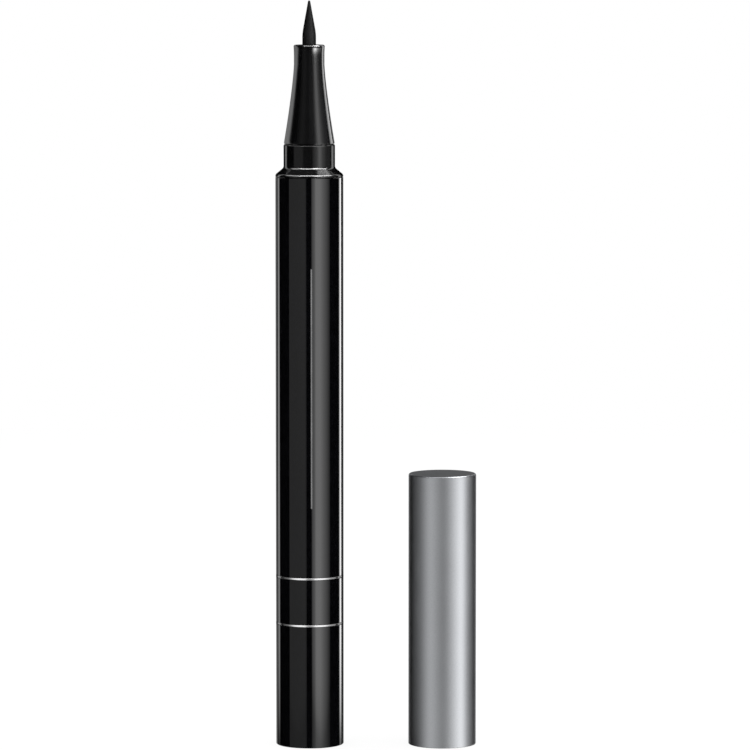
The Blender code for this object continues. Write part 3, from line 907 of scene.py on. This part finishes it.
def shareCurve(tree, spots, along):
    # a level that follows the spots from one edge of the lamp to the other
    curve = tree.nodes.new("ShaderNodeFloatCurve")
    curve.mapping.clip_max_y = studio["levelLimit"]
    curve.mapping.extend = "HORIZONTAL"
    line = curve.mapping.curves[0]
    line.points[0].location, line.points[1].location = spots[0], spots[-1]
    for spot in spots[1:-1]:
        line.points.new(*spot)
    for point in line.points:
        point.handle_type = "VECTOR"
    curve.mapping.update()
    tree.links.new(along, curve.inputs["Value"])
    return curve.outputs["Value"]


def shadeLamp(lamp, row, middle, half):
    # brightness follows the row's steps across the lamp, and its fall upwards
    lamp.data.use_nodes = True
    tree = lamp.data.node_tree
    face = tree.nodes.new("ShaderNodeNewGeometry")
    split = tree.nodes.new("ShaderNodeSeparateXYZ")
    tree.links.new(face.outputs["Parametric"], split.inputs["Vector"])
    across, upward = split.outputs["X"], split.outputs["Y"]
    length = studio["lampLength"]
    foot = -length / 2
    if "lean" in row:
        height, slope = row["lean"]
        turn = math.radians(slope * length) / (2 * half)
        shift = mathNode(tree, "MULTIPLY_ADD", (upward, turn, -turn * (height - foot) / length))
        across = mathNode(tree, "ADD", (across, shift))
    spots = []
    for angle, level in row["steps"]:
        spots.append((0.5 + math.tan(math.radians(angle) - middle) / math.tan(half) / 2, level))
    strength = shareCurve(tree, spots, across)
    if "fall" in row:
        fall = lampFalls[row["fall"]]
        low, high = fall[0][0], fall[-1][0]
        stretch = tree.nodes.new("ShaderNodeMapRange")
        stretch.inputs["From Min"].default_value = (low - foot) / length
        stretch.inputs["From Max"].default_value = (high - foot) / length
        tree.links.new(upward, stretch.inputs["Value"])
        spots = [((height - low) / (high - low), share) for height, share in fall]
        shares = shareCurve(tree, spots, stretch.outputs["Result"])
        strength = mathNode(tree, "MULTIPLY", (strength, shares))
    tree.links.new(strength, tree.nodes["Emission"].inputs["Strength"])


def groupAxis(group):
    # metres to the right of the pen's own axis
    return axisOf("cap_shell") * mm if group == "cap" else 0


def makeLamps(groups):
    distance = studio["lampDistance"]
    for row in uprightLamps:
        left, right = math.radians(row["steps"][0][0]), math.radians(row["steps"][-1][0])
        middle, half = (left + right) / 2, (right - left) / 2
        axis = groupAxis(row["lights"])
        spot = (axis + distance * math.sin(middle), -distance * math.cos(middle), 0)
        size = (2 * distance * math.tan(half), studio["lampLength"])
        lamp = placeLamp(row["name"], spot, (axis, 0, 0), size, 1.0, groups, row["lights"])
        shadeLamp(lamp, row, middle, half)
    heads = {
        "bands": footOf("lower_band"), "collar": headOf("barrel"), "cone": headOf("nozzle"),
        "cap": headOf("cap_shell"),
    }
    for name, lit, bearing, rise, size, brightness in topLamps:
        target = Vector((groupAxis(lit), 0, heads[lit] * mm))
        turn, lift = math.radians(bearing), math.radians(rise)
        away = Vector((math.cos(lift) * math.sin(turn), -math.cos(lift) * math.cos(turn), math.sin(lift)))
        placeLamp(name, target + studio["topDistance"] * away, target, size, brightness, groups, lit)
    spot, width = (0, 0, studio["floorLampHeight"]), studio["floorLampSize"]
    placeLamp("floorLight", spot, (0, 0, 0), (width, width), studio["floorLampLevel"], groups, "floor")


def eyeShare(tree):
    # 1 for rays that come straight from the eye, or by way of metal, gloss or glass
    path = tree.nodes.new("ShaderNodeLightPath").outputs
    direct = mathNode(tree, "ADD", (path["Is Camera Ray"], path["Is Glossy Ray"]))
    return mathNode(tree, "ADD", (direct, path["Is Transmission Ray"]), clamp=True)


def makeWorld():
    world = bpy.data.worlds.new("studioWorld")
    world.use_nodes = True
    bpy.context.scene.world = world
    tree = world.node_tree
    seen, felt = tree.nodes.new("ShaderNodeBackground"), tree.nodes["Background"]
    seen.inputs["Color"].default_value = (1, 1, 1, 1)
    seen.inputs["Strength"].default_value = 1.0
    felt.inputs["Color"].default_value = (1, 1, 1, 1)
    felt.inputs["Strength"].default_value = studio["ambient"]
    mix = tree.nodes.new("ShaderNodeMixShader")
    tree.links.new(eyeShare(tree), mix.inputs["Fac"])
    tree.links.new(felt.outputs[0], mix.inputs[1])
    tree.links.new(seen.outputs[0], mix.inputs[2])
    tree.links.new(mix.outputs[0], tree.nodes["World Output"].inputs["Surface"])


def makeFloor():
    bpy.ops.mesh.primitive_plane_add(size=studio["floorSize"], location=(0, 0, -studio["floorDrop"]))
    floor = bpy.context.object
    floor.name = "studioFloor"
    material = bpy.data.materials.new("paleFloor")
    material.use_nodes = True
    tree = material.node_tree
    nodes, links = tree.nodes, tree.links
    matte = nodes["Principled BSDF"]
    matte.inputs["Base Color"].default_value = (*[studio["floorWhite"]] * 3, 1)
    matte.inputs["Roughness"].default_value = studio["floorRoughness"]
    matte.inputs["Specular IOR Level"].default_value = 0.0
    glow = nodes.new("ShaderNodeEmission")
    glow.inputs["Strength"].default_value = 1.0
    place = nodes.new("ShaderNodeTexCoord")
    reach = nodes.new("ShaderNodeVectorMath")
    reach.operation = "LENGTH"
    links.new(place.outputs["Object"], reach.inputs[0])
    fade = nodes.new("ShaderNodeMapRange")
    fade.inputs["From Min"].default_value, fade.inputs["From Max"].default_value = studio["floorFade"]
    fade.inputs["To Min"].default_value = studio["floorGlow"]
    links.new(reach.outputs["Value"], fade.inputs["Value"])
    share = mathNode(tree, "MULTIPLY", (eyeShare(tree), fade.outputs["Result"]))
    top = nodes.new("ShaderNodeMixShader")
    links.new(share, top.inputs["Fac"])
    links.new(matte.outputs[0], top.inputs[1])
    links.new(glow.outputs[0], top.inputs[2])
    # clear from below, so that the feet of the pieces can be looked at
    side = nodes.new("ShaderNodeNewGeometry")
    clear = nodes.new("ShaderNodeBsdfTransparent")
    both = nodes.new("ShaderNodeMixShader")
    links.new(side.outputs["Backfacing"], both.inputs["Fac"])
    links.new(top.outputs[0], both.inputs[1])
    links.new(clear.outputs[0], both.inputs[2])
    links.new(both.outputs[0], nodes["Material Output"].inputs["Surface"])
    floor.data.materials.append(material)
    floor.visible_glossy = False
    return floor


def makeTent():
    # black cloth all round, which only gloss and metal see
    bpy.ops.mesh.primitive_uv_sphere_add(segments=studio["tentSegments"], ring_count=studio["tentRings"],
                                         radius=studio["tentRadius"])
    tent = bpy.context.object
    tent.name = "blackTent"
    cloth = bpy.data.materials.new("blackCloth")
    cloth.use_nodes = True
    matte = cloth.node_tree.nodes["Principled BSDF"]
    matte.inputs["Base Color"].default_value = (0, 0, 0, 1)
    matte.inputs["Specular IOR Level"].default_value = 0.0
    tent.data.materials.append(cloth)
    tent.visible_camera = tent.visible_diffuse = tent.visible_transmission = False
    tent.visible_shadow = tent.visible_volume_scatter = False


bpy.ops.object.select_all(action="DESELECT")
groups = makeLitGroups()
makeWorld()
groups["floor"].objects.link(makeFloor())
makeTent()
makeLamps(groups)
bpy.context.scene.view_settings.view_transform = "Standard"
print("studio lit")
